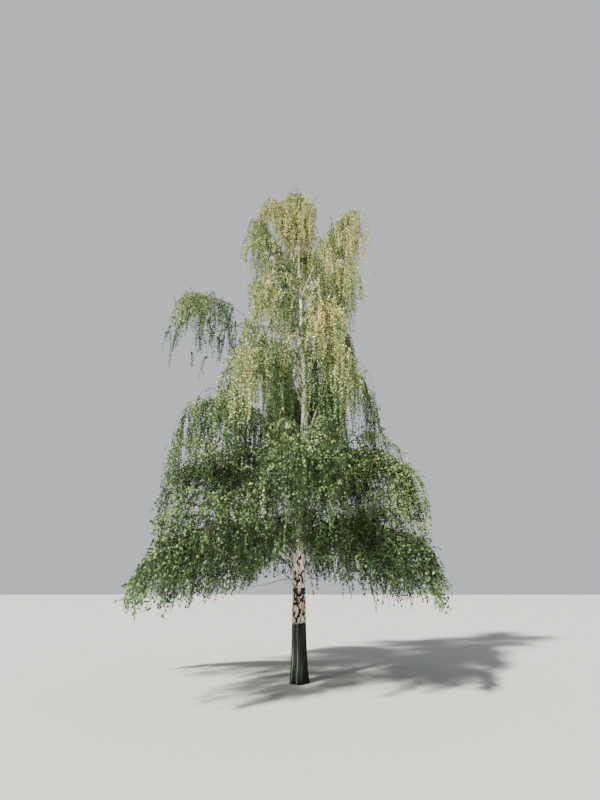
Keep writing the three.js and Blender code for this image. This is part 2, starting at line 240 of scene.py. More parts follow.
def skin_faces(rings, sides):
    """Faces over rings of points: the four-cornered ones round the tube, and one over each end."""
    ring, side = np.meshgrid(np.arange(rings - 1), np.arange(sides), indexing="ij")
    after = (side + 1) % sides
    quads = np.stack([ring * sides + side, ring * sides + after,
                      (ring + 1) * sides + after, (ring + 1) * sides + side], axis=-1).reshape(-1, 4)
    first = np.arange(sides)
    return quads, np.stack([first[::-1], first + (rings - 1) * sides])


fine = np.arange(0, FINE_TOP, FINE_RING)
coarse = FINE_TOP + (TRUNK_HEIGHT - FINE_TOP) * np.linspace(0, 1, COARSE_RINGS) ** COARSE_SPREAD
trunk_z = np.concatenate([fine, coarse])
trunk_turns = np.linspace(0, 2 * math.pi, TRUNK_COLUMNS, endpoint=False)
z, turn = [axis.ravel() for axis in np.meshgrid(trunk_z, trunk_turns, indexing="ij")]
radius = trunk_radius(z, turn)
skin = np.stack([SKIN_RADIUS * np.cos(turn), SKIN_RADIUS * np.sin(turn), z], axis=1)

ragged = RUGGED_FRAY * (noise(skin * FRAY_CELLS, seed=2) - 0.5)
rugged = 1 - smooth(RUGGED_TOP - RUGGED_EDGE, RUGGED_TOP + RUGGED_EDGE, z + ragged)
ridges = RIDGE_SHARE * crests(skin * RIDGE_CELLS, seed=5)
ridges = ridges + (1 - RIDGE_SHARE) * crests(skin * FINE_RIDGE_CELLS, seed=7)
wander = RIB_WANDER * (noise(np.stack([z * RIB_CELLS, z * 0, z * 0], axis=1), seed=23) - 0.5)
rib = sum(np.exp(-((turn + wander - place) / RIB_WIDTH) ** 2) for place in RIB_TURNS) * rugged

flakes = FLAKE_SHARE * noise(skin * FLAKE_CELLS, seed=11)
flakes = flakes + (1 - FLAKE_SHARE) * noise(skin * CHIP_CELLS, seed=13)
cover = COVER_CHANGE * (1 - smooth(*MORE_PATCHES, z)) - COVER_CHANGE * smooth(*FEWER_PATCHES, z)
flakes = (flakes + cover) * (1 - rugged)
patch = smooth(*PATCH_EDGE, flakes)

relief = rugged * RIDGE_DEPTH * (ridges - RIDGE_LEVEL)
relief = relief + patch * PATCH_DEPTH * (2 * ridges - PATCH_LEVEL) + rib * RIB_DEPTH
relief += DIMPLE_DEPTH * (noise(skin * DIMPLE_CELLS, seed=17) - 0.5)
radius = radius + relief * np.minimum(1, radius / THIN_STEM)
trunk_points = np.stack([trunk_middle(z) + radius * np.cos(turn), radius * np.sin(turn), z], axis=1)
trunk = mesh_of("trunk_bark", trunk_points, skin_faces(len(trunk_z), TRUNK_COLUMNS))


def store(piece, name, values):
    layer = piece.data.attributes.new(name, "FLOAT", "POINT")
    layer.data.foreach_set("value", np.ascontiguousarray(values, dtype=np.float32))


def shade_smooth(piece):
    piece.data.polygons.foreach_set("use_smooth", [True] * len(piece.data.polygons))


store(trunk, "rugged", rugged)
store(trunk, "ridge", ridges)
store(trunk, "flakes", flakes)
store(trunk, "rib", rib)
stain = 1 - smooth(*STAIN_FADES, z + STAIN_FRAY * ragged) + STAIN_RETURN * smooth(*STAIN_RETURNS, z)
store(trunk, "stained", stain)
shade_smooth(trunk)


def new_material(name, colour, roughness):
    material = bpy.data.materials.new(name)
    material.use_nodes = True
    shader = material.node_tree.nodes["Principled BSDF"]
    shader.inputs["Base Color"].default_value = (*colour, 1)
    shader.inputs["Roughness"].default_value = roughness
    return material, material.node_tree, shader


def add_node(tree, kind, **settings):
    node = tree.nodes.new(kind)
    for name, value in settings.items():
        setattr(node, name, value)
    return node


def blend(tree, factor, first, second):
    """A mix of two colours, each a socket or a plain colour."""
    node = add_node(tree, "ShaderNodeMix", data_type="RGBA")
    tree.links.new(factor, node.inputs["Factor"])
    for socket, value in ((node.inputs[6], first), (node.inputs[7], second)):
        if isinstance(value, bpy.types.NodeSocket):
            tree.links.new(value, socket)
        else:
            socket.default_value = (*value, 1)
    return node.outputs[2]


def stretched_noise(tree, stretch, scale, detail):
    """Noise on the object's own coordinates, stretched by a share along each axis."""
    where = add_node(tree, "ShaderNodeTexCoord")
    shape = add_node(tree, "ShaderNodeMapping")
    shape.inputs["Scale"].default_value = stretch
    tree.links.new(where.outputs["Object"], shape.inputs["Vector"])
    pattern = add_node(tree, "ShaderNodeTexNoise")
    pattern.inputs["Scale"].default_value = scale
    pattern.inputs["Detail"].default_value = detail
    tree.links.new(shape.outputs["Vector"], pattern.inputs["Vector"])
    return pattern.outputs["Fac"]


def step_between(tree, value, low, high):
    """How far a value has come from low to high, as 0 to 1."""
    node = add_node(tree, "ShaderNodeMapRange")
    node.inputs["From Min"].default_value = low
    node.inputs["From Max"].default_value = high
    tree.links.new(value, node.inputs["Value"])
    return node.outputs["Result"]


def attribute(tree, name):
    return add_node(tree, "ShaderNodeAttribute", attribute_name=name).outputs["Fac"]


def roughened(tree, value, pattern, strength):
    """A value with some of a pattern added to it."""
    node = add_node(tree, "ShaderNodeMath", operation="MULTIPLY_ADD")
    tree.links.new(pattern, node.inputs[0])
    node.inputs[1].default_value = strength
    tree.links.new(value, node.inputs[2])
    return node.outputs["Value"]


# raised grain, the same effect on the bark of the trunk and of the boughs
GRAIN_DETAIL = 5

bark_grain = bpy.data.node_groups.new("bark_grain", "ShaderNodeTree")
for name, kind in (("Stretch", "NodeSocketVector"), ("Scale", "NodeSocketFloat"),
                   ("Strength", "NodeSocketFloat"), ("Depth", "NodeSocketFloat")):
    bark_grain.interface.new_socket(name, in_out="INPUT", socket_type=kind)
bark_grain.interface.new_socket("Normal", in_out="OUTPUT", socket_type="NodeSocketVector")
given = add_node(bark_grain, "NodeGroupInput")
result = add_node(bark_grain, "NodeGroupOutput")
where = add_node(bark_grain, "ShaderNodeTexCoord")
shape = add_node(bark_grain, "ShaderNodeMapping")
fibres = add_node(bark_grain, "ShaderNodeTexNoise")
fibres.inputs["Detail"].default_value = GRAIN_DETAIL
raised = add_node(bark_grain, "ShaderNodeBump")
for source, socket in ((where.outputs["Object"], shape.inputs["Vector"]),
                       (given.outputs["Stretch"], shape.inputs["Scale"]),
                       (shape.outputs["Vector"], fibres.inputs["Vector"]),
                       (given.outputs["Scale"], fibres.inputs["Scale"]),
                       (fibres.outputs["Fac"], raised.inputs["Height"]),
                       (given.outputs["Strength"], raised.inputs["Strength"]),
                       (given.outputs["Depth"], raised.inputs["Distance"]),
                       (raised.outputs["Normal"], result.inputs["Normal"])):
    bark_grain.links.new(source, socket)


def grain_bark(tree, shader, stretch, scale, strength, depth):
    grain = add_node(tree, "ShaderNodeGroup", node_tree=bark_grain)
    for name, value in (("Stretch", stretch), ("Scale", scale), ("Strength", strength), ("Depth", depth)):
        grain.inputs[name].default_value = value
    tree.links.new(grain.outputs["Normal"], shader.inputs["Normal"])


PAPER_PALE = (0.84, 0.80, 0.65)
PAPER_TAN = (0.58, 0.47, 0.34)
PAPER_BLUSH = (0.62, 0.43, 0.27)
LENTICEL = (0.16, 0.12, 0.085)
PATCH_BLACK = (0.020, 0.017, 0.013)
PATCH_BROWN = (0.17, 0.095, 0.050)
# the rugged foot's own dark furrows and green-black ridges, painted darker with the shade that lies across
# the foot, the furrows near black with painted shade in their hollows
FURROW_DARK_SHADED = (0.004, 0.006, 0.004)
RIDGE_GREEN_SHADED = (0.040, 0.052, 0.036)
RIB_PALE = (0.17, 0.195, 0.155)

birch_bark, tree, shader = new_material("birch_bark", PAPER_PALE, roughness=0.7)
shader.inputs["Specular IOR Level"].default_value = 0.2
bands = stretched_noise(tree, stretch=(1, 1, 4), scale=5, detail=4)
stained = blend(tree, step_between(tree, bands, low=0.48, high=0.72), PAPER_PALE, PAPER_TAN)
clouds = stretched_noise(tree, stretch=(1, 1, 0.6), scale=7, detail=3)
stained = blend(tree, step_between(tree, clouds, low=0.50, high=0.70), stained, PAPER_BLUSH)
paper = blend(tree, attribute(tree, "stained"), PAPER_PALE, stained)
dashes = stretched_noise(tree, stretch=(1, 1, 9), scale=15, detail=2)
paper = blend(tree, step_between(tree, dashes, low=0.65, high=0.68), paper, LENTICEL)
tears = stretched_noise(tree, stretch=(1, 1, 0.7), scale=60, detail=3)
torn = roughened(tree, attribute(tree, "flakes"), tears, strength=0.30)
paper = blend(tree, step_between(tree, torn, low=0.70, high=0.74), paper, PATCH_BROWN)
paper = blend(tree, step_between(tree, torn, low=0.74, high=0.81), paper, PATCH_BLACK)
crest = step_between(tree, attribute(tree, "ridge"), low=0.55, high=0.95)
# the rugged foot's colour, its own darkness plus painted shade
rind = blend(tree, crest, FURROW_DARK_SHADED, RIDGE_GREEN_SHADED)
rind = blend(tree, step_between(tree, attribute(tree, "rib"), low=0.35, high=0.9), rind, RIB_PALE)
tree.links.new(blend(tree, attribute(tree, "rugged"), paper, rind), shader.inputs["Base Color"])
grain_bark(tree, shader, stretch=(1, 1, 3), scale=45, strength=0.6, depth=0.004)
trunk.data.materials.append(birch_bark)
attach(trunk, "root")
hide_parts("trunk")

# Boughs
# Tiers of limbs leave the trunk, climb to a crest and arch over. Near the trunk their bark is grey and pale,
# and it turns brown as they thin. Each carries on as the stem of its mass of foliage.

CROWN_SKEW = 0.16        # limbs reach further to the left, and less to the right, by this share
LIMB_WANDER = 0.035      # sideways sway, as a share of the reach
LIMB_ROOT_RADIUS = 0.011     # of the limb's whole reach and lift
LIMB_END_RADIUS = 0.004
LIMB_SLIMMING = 0.8      # power of the taper
SAG = {"arm": 0.35, "shoulder": 0.1, "else": 0}   # how far the foliage pulls the end of a limb down
COLLAR_SWELLING = 0.35   # where a limb leaves the trunk
COLLAR_LENGTH = 0.03
KNOT_CELLS = 26
KNOT_SIZE = 0.25
LIMB_SIDES = 8
LIMB_RINGS = 24

# place on the limb, degrees turned aside and length of each fork, both lengths as shares of the limb's reach
FORKS = ((0.30, 44, 0.55), (0.44, -42, 0.50), (0.60, 36, 0.36))
FORK_RETURN = 0.35       # share of its turn that it loses again
FORK_RISE = {"arm": 0.05, "else": 0.42}
FORK_REACH = {"middle": 0.75, "else": 1}
FORK_TOP = 0.75          # where along itself a fork stops climbing
FORK_SLIMMING = 0.62     # against the limb at its root

# The thin bare branch on the left carries no mass.
BRANCH_HEIGHT = 1.80
BRANCH_LEFT = 1.47
BRANCH_FORWARD = 0.35
BRANCH_DROP = 0.10
BRANCH_SWAY = 0.08
BRANCH_WAVE = 7.5
BRANCH_RADII = (0.014, 0.003)
BRANCH_AGES = (1.3, 0.8)

# Bearings go in degrees from the right round by the back. The limbs of a tier leave the trunk at height,
# each a climb above the last, and run out by reach and up by lift. crest and bare are shares of their
# length, where they are highest and where their foliage begins. It spreads and hangs so far.
TIERS = [
    dict(name="skirt", bearings=(176, 232, 328, 32, 105), height=2.15, climb=0.1,
         reach=2.8, lift=0.48, crest=0.5, bare=0.28, spread=0.95, hang=0.52, shoots=9),
    dict(name="low", bearings=(197, 272, 345, 50, 130), height=2.95, climb=0.19,
         reach=2.4, lift=1.1, crest=0.62, bare=0.26, spread=0.95, hang=1.0, shoots=9),
    dict(name="middle", bearings=(180, 240, 310, 20, 95), height=4.05, climb=0.23,
         reach=2.25, lift=1.9, crest=0.76, bare=0.26, spread=0.85, hang=1.3, shoots=9),
    dict(name="upper", bearings=(205, 285, 25, 120), height=5.7, climb=0.23,
         reach=1.65, lift=1.85, crest=0.87, bare=0.26, spread=0.75, hang=1.3, shoots=8),
    dict(name="arm", bearings=(178,), height=6.15, climb=0,
         reach=2.95, lift=3.45, crest=1.12, bare=0.55, spread=0.6, hang=1.15, shoots=8),
    dict(name="high", bearings=(240, 330, 50, 150), height=7.3, climb=0.25,
         reach=1.6, lift=1.95, crest=0.9, bare=0.26, spread=0.7, hang=1.2, shoots=8),
    dict(name="crest", bearings=(195, 80), height=9.05, climb=0.3,
         reach=1.3, lift=2.45, crest=1.05, bare=0.26, spread=0.6, hang=1.2, shoots=8),
    dict(name="shoulder", bearings=(350,), height=8.95, climb=0,
         reach=2.05, lift=3.15, crest=1.05, bare=0.34, spread=0.6, hang=1.3, shoots=8),
    dict(name="top", bearings=(200, 340, 90), height=10.7, climb=0.26,
         reach=0.78, lift=1.9, crest=1.15, bare=0, spread=0.5, hang=1.0, shoots=6),
    dict(name="leader", bearings=(250,), height=TRUNK_HEIGHT, climb=0,
         reach=0.06, lift=0.8, crest=1.3, bare=0, spread=0.42, hang=0.9, shoots=6),
]


SEED_STEP = 12.9898
DRAW_STEP = 78.233


def chance(seed, draw):
    wave = math.sin(seed * SEED_STEP + draw * DRAW_STEP) * SCRAMBLE
    return wave - math.floor(wave)


def mix(first, second, share):
    return first + (second - first) * share


def by_tier(values, limb):
    """A limb's own value from a table, where "else" stands for the tiers that it doesn't name."""
    return values.get(limb["name"], values["else"])


def level_way(bearing):
    return np.array([math.cos(bearing), math.sin(bearing), 0.0])


def limb_points(limb, shares):
    """Points of a limb, from the middle of the trunk to the tip of its mass."""
    shares = np.atleast_1d(shares)[:, None]
    across = shares / limb["crest"]
    sway = limb["reach"] * LIMB_WANDER * np.sin(2 * math.pi * shares + limb["phase"]) * shares
    rise = limb["lift"] * (2 * across - across ** 2)
    rise -= by_tier(SAG, limb) * np.maximum(0, (shares - limb["bare"]) / (1 - limb["bare"])) ** 2
    out = level_way(limb["bearing"])
    side = level_way(limb["bearing"] + math.pi / 2)
    return limb["root"] + out * limb["reach"] * shares + side * sway + np.array([0, 0, 1.0]) * rise


limbs = []
for tier in TIERS:
    for k, degrees in enumerate(tier["bearings"]):
        limb = dict(tier, bearing=math.radians(degrees), seed=len(limbs) + 1)
        limb["node"] = f"{tier['name']}_{k + 1}" if len(tier["bearings"]) > 1 else tier["name"]
        limb["reach"] *= 1 - CROWN_SKEW * math.cos(limb["bearing"])
        height = tier["height"] + tier["climb"] * k
        limb["root"] = np.array([trunk_middle(height), 0, height])
        limb["phase"] = chance(limb["seed"], 0) * 2 * math.pi
        limb["root_radius"] = LIMB_ROOT_RADIUS * math.hypot(limb["reach"], tier["lift"])
        limbs.append(limb)


def tube_skin(lines, radii, sides):
    """Points and faces of many tapering tubes. lines is tube by point by axis, and radii tube by point."""
    tubes, count = lines.shape[:2]
    way = np.gradient(lines, axis=1)
    way /= np.linalg.norm(way, axis=2, keepdims=True) + 1e-12
    level = np.stack([-way[..., 1], way[..., 0], np.zeros(way.shape[:2])], axis=-1)
    length = np.linalg.norm(level, axis=2, keepdims=True)
    # where a tube runs straight up or down, any level way will do
    level = np.where(length > 0.05, level / (length + 1e-9), (1.0, 0.0, 0.0))
    # a tube that turns past the vertical keeps the side that it set out with
    level *= np.where(np.sum(level * level[:, :1], axis=2, keepdims=True) < 0, -1, 1)
    level -= way * np.sum(level * way, axis=2, keepdims=True)
    level /= np.linalg.norm(level, axis=2, keepdims=True) + 1e-12
    up = np.cross(way, level)
    turn = 2 * math.pi * np.arange(sides) / sides
    ring = level[:, :, None] * np.cos(turn)[:, None] + up[:, :, None] * np.sin(turn)[:, None]
    points = lines[:, :, None] + ring * radii[:, :, None, None]
    quads, ends = [faces[None] + (np.arange(tubes) * count * sides)[:, None, None]
                   for faces in skin_faces(count, sides)]
    return points.reshape(-1, 3), quads.reshape(-1, 4), ends.reshape(-1, sides)


def fork_points(limb, fork, shares):
    """Points along a fork of a limb, which bends round to run beside it."""
    place, aside, length = fork
    shares = np.atleast_1d(shares)
    bearing = limb["bearing"] + math.radians(aside) * (1 - FORK_RETURN * shares)
    length = length * limb["reach"] * by_tier(FORK_REACH, limb)
    out = length * shares
    climb = 2 * shares / FORK_TOP - (shares / FORK_TOP) ** 2
    rise = by_tier(FORK_RISE, limb) * length * climb
    return limb_points(limb, place) + np.stack([np.cos(bearing) * out, np.sin(bearing) * out, rise], axis=1)


def limb_radius(limb, share):
    return mix(limb["root_radius"], LIMB_END_RADIUS, share ** LIMB_SLIMMING)


# Each line's age, from 1 or more where it is old and pale to 0 at a young tip, colours its bark.
shares = np.linspace(0, 1, LIMB_RINGS)
collar = 1 + COLLAR_SWELLING * np.exp(-shares / COLLAR_LENGTH)
limb_lines = [limb_points(limb, shares) for limb in limbs]
limb_radii = [limb_radius(limb, shares) * collar for limb in limbs]
ages = [1 - shares] * len(limbs)

branch_sway = BRANCH_SWAY * np.sin(BRANCH_WAVE * shares) * (1 - shares)
branch_height = BRANCH_HEIGHT - BRANCH_DROP * shares + branch_sway
limb_lines.append(np.stack([-BRANCH_LEFT * shares, -BRANCH_FORWARD * shares, branch_height], axis=1))
limb_radii.append(mix(*BRANCH_RADII, shares))
ages.append(mix(*BRANCH_AGES, shares))

forked = [limb for limb in limbs if limb["bare"] > 0]
for limb in forked:
    for fork in FORKS:
        root_radius = limb_radius(limb, fork[0]) * FORK_SLIMMING
        limb_lines.append(fork_points(limb, fork, shares))
        limb_radii.append(mix(root_radius, LIMB_END_RADIUS, shares ** LIMB_SLIMMING))
        ages.append((1 - fork[0]) * (1 - shares))

limb_lines = np.stack(limb_lines)
bough_points, *bough_faces = tube_skin(limb_lines, np.stack(limb_radii), LIMB_SIDES)
knots = noise(bough_points * KNOT_CELLS, seed=3) - 0.5
bough_middles = np.repeat(limb_lines.reshape(-1, 3), LIMB_SIDES, axis=0)
bough_points = bough_middles + (bough_points - bough_middles) * (1 + KNOT_SIZE * knots[:, None])
boughs = mesh_of("boughs", bough_points, bough_faces)
shade_smooth(boughs)
store(boughs, "age", np.repeat(np.concatenate(ages), LIMB_SIDES))

BOUGH_PALE = (0.46, 0.42, 0.34)
BOUGH_BROWN = (0.115, 0.085, 0.062)

bough_bark, tree, shader = new_material("bough_bark", BOUGH_BROWN, roughness=0.7)
wear = stretched_noise(tree, stretch=(1, 1, 1), scale=9, detail=4)
worn = roughened(tree, attribute(tree, "age"), wear, strength=0.9)
colour = blend(tree, step_between(tree, worn, low=0.75, high=1.35), BOUGH_BROWN, BOUGH_PALE)
tree.links.new(colour, shader.inputs["Base Color"])
grain_bark(tree, shader, stretch=(1, 1, 1), scale=70, strength=0.4, depth=0.003)
boughs.data.materials.append(bough_bark)
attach(boughs, "root")
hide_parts(*[f"bough_{limb['node']}" for limb in forked])

# Twigs
# Thin brown shoots arch out of every limb and bend down, and from them hang the whippy strands that give the
# tree its weeping look. They grow by the plain solids' seeded rule, and every mass keeps to its own space.

CELL_FLATTENING = 0.75   # spaces are taller than they are wide
HEARTS = (0.1, 0.5, 0.95)    # places along a mass's stem, each giving its share of the mass's space
HEART_DROP = 0.35        # of the mass's hang, under the stem

hearts = []
for limb in limbs:
    middles = limb_points(limb, mix(limb["bare"], 1, np.array(HEARTS)))
    middles[:, 2] -= limb["hang"] * HEART_DROP
    hearts.append(middles)
hearts = np.stack(hearts)


def in_own_space(points, number):
    """Which of some points are nearer to one of a mass's hearts than to those of any other mass."""
    apart = (points[:, None, None] - hearts[None]) * (1, 1, CELL_FLATTENING)
    nearest = np.linalg.norm(apart, axis=-1).min(axis=-1)
    return nearest.argmin(axis=1) == number


# The crown's outline as the camera sees it: height, and how far it reaches, left and right of the foot.
CROWN_REACH = np.array((
    (1.0, -3.9, 3.2), (1.7, -3.9, 3.3), (2.2, -3.3, 3.0), (3.3, -3.3, 3.0), (3.9, -3.2, 2.9),
    (5.5, -3.2, 2.2), (6.2, -2.6, 2.0), (7.0, -1.9, 1.5), (8.4, -1.6, 1.4), (9.1, -1.4, 2.0),
    (10.4, -1.9, 1.8), (11.4, -1.9, 2.1), (11.7, -1.5, 1.2), (12.0, -1.5, 0.6), (12.3, -1.5, 0.6),
    (12.9, -1.0, 0.4), (13.5, -0.4, 0.2)))
SHOULDER_REACH = 2.25    # the shoulder's foliage may pass the outline as far as this
# how far right, and as low as the foliage hangs there
CROWN_FOOT = np.array(((-2.2, 1.25), (-1.4, 1.6), (-0.5, 1.9), (0.2, 1.9), (0.35, 1.35), (1.0, 1.25)))
# the highest point of the masses that stand up, across and up, and how steeply they fall away from it
BROWS = {"arm": (-2.85, 9.6, 0.9), "shoulder": (1.64, 12.55, 0.45), "top": (-0.3, 13.1, 0.12),
         "leader": (-0.18, 13.2, 0.9)}
# middle, across and up, and half sizes of the holes that one can see through
HOLES = ((-1.06, 6.08, 0.34, 0.40), (-1.77, 4.87, 0.20, 0.25), (-1.14, 4.26, 0.18, 0.22),
         (1.30, 5.97, 0.28, 0.22), (1.50, 5.45, 0.22, 0.30), (0.69, 11.68, 0.14, 0.22))
HOLE_VEIL = 0.4          # share of the foliage that still hangs across a hole
EDGE_FRAY = 0.09         # how unevenly the foliage keeps to the outline
BROW_FRAY = 2.2          # times as unevenly along a brow
reach_low, reach_high = np.array(cad_box)


def in_reach(points, past):
    """Which points lie within the plain solids' box, or so far past it."""
    return ((points > reach_low - past) & (points < reach_high + past)).all(axis=1)


def in_outline(points, limb, rng):
    """Which points show inside the crown's outline and clear of its holes, from where the camera stands."""
    nearness = STAND_OFF / (STAND_OFF + points[:, 1])
    x = points[:, 0] * nearness
    z = EYE_HEIGHT + (points[:, 2] - EYE_HEIGHT) * nearness
    fray = rng.normal(0, EDGE_FRAY, len(points))
    left = np.interp(z, CROWN_REACH[:, 0], CROWN_REACH[:, 1])
    right = np.interp(z, CROWN_REACH[:, 0], CROWN_REACH[:, 2])
    foot = np.interp(x, CROWN_FOOT[:, 0], CROWN_FOOT[:, 1])
    if limb["name"] == "shoulder":
        right = np.maximum(right, SHOULDER_REACH)
    inside = (x > left + fray) & (x < right + fray) & (z > foot + fray)
    if limb["name"] == "arm":
        # the arm itself makes the outline on its own side
        inside = x < right
    if limb["name"] in BROWS:
        place, top, steep = BROWS[limb["name"]]
        inside &= z < top - steep * (x - place) ** 2 + BROW_FRAY * fray
    for place, height, half_width, half_height in HOLES:
        hole = ((x - place) / half_width) ** 2 + ((z - height) / half_height) ** 2 < 1
        inside &= ~hole | (rng.random(len(points)) < HOLE_VEIL)
    return inside


SHOOT_POINTS = 6
SHOOT_TRIES = (1, 0.78, 0.58, 0.4)   # shares of its size at which a shoot is tried, until it fits its space
SHOOT_RISE = 0.3         # of its spread, before it falls
SHOOTS_TO_ONE = {"skirt": 9, "low": 6, "top": 6, "leader": 8, "else": 3}   # of the plain solid's
SHOOT_DRAWS = 10         # numbers set apart for the draws of each shoot, the plain solid's first
FINE_DRAWS = 1000
SHOOT_START = 0.8        # of the way to the next
SHOOT_LAST = 0.98
SHOOT_TURN = (112, 30)   # degrees off the limb, at its root and at its tip
SHOOT_TURN_SPREAD = (-16, 16)
SHOOT_SPREAD = (1.05, 0.6)   # of the mass's spread, in the same way
SHOOT_SIZES = (0.75, 1.2)    # from one shoot to another
SHOOT_FALL = (0.6, 1.1)      # of the mass's hang
# the shoots between the plain solid's stand out further and hang lower
FINE_SPREAD = {"crest": 1.3, "leader": 1.4, "skirt": 1.1, "low": 1.15, "middle": 1.2, "top": 1.2, "else": 1}
FINE_FALL = {"skirt": 1.75, "else": 1}

FORK_SHOOTS = 8          # on each fork
FORK_START = 0.6
FORK_LEAN = 0.8          # share of the fork's own turn
FORK_TURN = (25, 80)
FORK_SPREAD = (0.4, 0.8)
FORK_FALL = (0.35, 0.9)

RISERS = {"top": 50, "leader": 40, "else": 16}   # shoots of a limb that climb before they arch over
RISER_START = 0.35       # share of the bare stretch of the limb behind the first
RISER_CLIMB = (0.2, 0.75)
RISER_TIP_CLIMB = 0.35   # share of that left at the limb's tip
RISER_STINT = {"arm": 0.55, "shoulder": 0.6, "crest": 0.6, "else": 1}
RISER_TURN = {"top": 180, "leader": 180, "else": 95}   # the most degrees off the limb, either way
RISER_SPREAD = (0.25, 0.75)
RISER_CREST = 1.4        # of its climb
RISER_END = 0.78         # of its climb, above its root

TRUNK_SHOOTS = 110
TRUNK_SHOOT_HEIGHTS = (2.5, 12.2)
TRUNK_SHOOT_SPREAD = (0.35, 0.85)
TRUNK_SHOOT_RISE = 0.7
TRUNK_SHOOT_FALL = (-0.2, 0.3)

HOLLOW_CELLS = (1.5, 1.5, 1.1)   # to a metre, of the noise that leaves hollows a pace across
HOLLOW_GAP = {"middle": 0.30, "upper": 0.28, "arm": 0.25, "shoulder": 0.25, "else": 0}


def arch(start, bearing, spread, rise, fall):
    """A shoot that sets out level, climbing a little, and bends down towards its end."""
    s = np.linspace(0, 1, SHOOT_POINTS)
    level = level_way(bearing) * (spread * (1 - (1 - s) ** 2))[:, None]
    return start + level + np.array([0, 0, 1.0]) * (2 * rise * s * (1 - s) - fall * s ** 2)[:, None]


def side_shoot(limb, rng, q, size):
    """Shoot q of a mass, one in several the plain solid's own. Unlike the next rules it needs no rng."""
    several = by_tier(SHOOTS_TO_ONE, limb)
    k, between = divmod(q, several)
    first = SHOOT_DRAWS * (k + 1) if between == 0 else FINE_DRAWS + SHOOT_DRAWS * q
    draws = [chance(limb["seed"], first + n) for n in (1, 2, 3)]
    along = min((q / several + SHOOT_START) / limb["shoots"], SHOOT_LAST)
    side = 1 if (k + between) % 2 else -1
    turned = side * math.radians(mix(*SHOOT_TURN, along) + mix(*SHOOT_TURN_SPREAD, draws[0]))
    spread = size * limb["spread"] * mix(*SHOOT_SPREAD, along) * mix(*SHOOT_SIZES, draws[1])
    fall = size * limb["hang"] * mix(*SHOOT_FALL, draws[2])
    if between:
        spread *= by_tier(FINE_SPREAD, limb)
        fall *= by_tier(FINE_FALL, limb)
    start = limb_points(limb, mix(limb["bare"], 1, along))[0]
    return arch(start, limb["bearing"] + turned, spread, spread * SHOOT_RISE, fall)


def fork_shoot(limb, rng, q, size):
    """A shoot from one of the limb's forks, turned to either side."""
    fork = FORKS[q % len(FORKS)]
    along = (q // len(FORKS) + FORK_START) / FORK_SHOOTS
    side = 1 if q // len(FORKS) % 2 else -1
    turned = math.radians(fork[1] * FORK_LEAN) + side * math.radians(rng.uniform(*FORK_TURN))
    spread = size * limb["spread"] * rng.uniform(*FORK_SPREAD)
    fall = size * limb["hang"] * rng.uniform(*FORK_FALL)
    start = fork_points(limb, fork, along)[0]
    return arch(start, limb["bearing"] + turned, spread, spread * SHOOT_RISE, fall)


def riser(limb, rng, q, size):
    """A shoot that climbs from anywhere on the limb and arches over. Unlike the others it needs no q."""
    along = rng.uniform(RISER_START * limb["bare"], 1)
    climb = size * rng.uniform(*RISER_CLIMB) * mix(1, RISER_TIP_CLIMB, along) * by_tier(RISER_STINT, limb)
    bearing = limb["bearing"] + math.radians(by_tier(RISER_TURN, limb) * rng.uniform(-1, 1))
    spread = size * rng.uniform(*RISER_SPREAD)
    return arch(limb_points(limb, along)[0], bearing, spread, RISER_CREST * climb, -RISER_END * climb)


def grow_shoots(limb, number, rng, rule, count):
    """Shoots by one rule, each cut down until it keeps to the mass's own space, or left out."""
    kept = []
    for q in range(count):
        for size in SHOOT_TRIES:
            line = rule(limb, rng, q, size)
            if in_own_space(line, number).all() and in_reach(line, past=0).all():
                clear = noise(line[-2:-1] * HOLLOW_CELLS, seed=53)[0] > by_tier(HOLLOW_GAP, limb)
                if clear and in_outline(line[-3:], limb, rng).all():
                    kept.append(line)
                break
    return kept


# shoots straight from the trunk, each given to the mass whose space its end lies in
rng = np.random.default_rng(1)
trunk_shoots = [[] for limb in limbs]
for height in np.linspace(*TRUNK_SHOOT_HEIGHTS, TRUNK_SHOOTS):
    bearing = rng.uniform(0, 2 * math.pi)
    spread = rng.uniform(*TRUNK_SHOOT_SPREAD)
    fall = rng.uniform(*TRUNK_SHOOT_FALL)
    root = np.array([trunk_middle(height), 0, height])
    line = arch(root, bearing, spread, TRUNK_SHOOT_RISE * spread, fall)
    nearest = [in_own_space(line[-1:], number)[0] for number in range(len(limbs))].index(True)
    if in_outline(line[-2:], limbs[nearest], rng).all():
        trunk_shoots[nearest].append(line)

# Strands hang in tassels along the shoots, and singly from the limbs and their forks.
TASSEL_GAP = {"skirt": 0.24, "low": 0.22, "middle": 0.26, "upper": 0.28, "else": 0.34}
TASSEL_STRANDS = 3
TASSEL_SPREAD = 0.035
FIRST_TASSEL = 0.12      # along the shoot
LEAST_TASSELS = 3
TASSEL_ENDS = (0.05, 0.999)
LIMB_STRANDS = 30
LIMB_CLEAR = 0.03        # of the limb, past its bare stretch
FORK_STRANDS = 12
FORK_CLEAR = 0.2


def strand_starts(limb, shoots, rng):
    """Where a mass's strands hang from, and the number of what carries each: shoots, limb, then forks."""
    starts = []
    for line in shoots:
        length = np.linalg.norm(np.diff(line, axis=0), axis=1).sum()
        tassels = np.linspace(FIRST_TASSEL, 1, max(LEAST_TASSELS, round(length / by_tier(TASSEL_GAP, limb))))
        shares = tassels[:, None] + rng.normal(0, TASSEL_SPREAD / length, (len(tassels), TASSEL_STRANDS))
        steps = np.clip(shares.ravel(), *TASSEL_ENDS) * (SHOOT_POINTS - 1)
        step = steps.astype(int)
        starts.append(mix(line[step], line[step + 1], (steps - step)[:, None]))
    starts.append(limb_points(limb, rng.uniform(limb["bare"] + LIMB_CLEAR, 1, LIMB_STRANDS)))
    if limb["bare"] > 0:
        for fork in FORKS:
            starts.append(fork_points(limb, fork, rng.uniform(FORK_CLEAR, 1, FORK_STRANDS)))
    carrier = np.repeat(np.arange(len(starts)), [len(part) for part in starts])
    return np.concatenate(starts), carrier


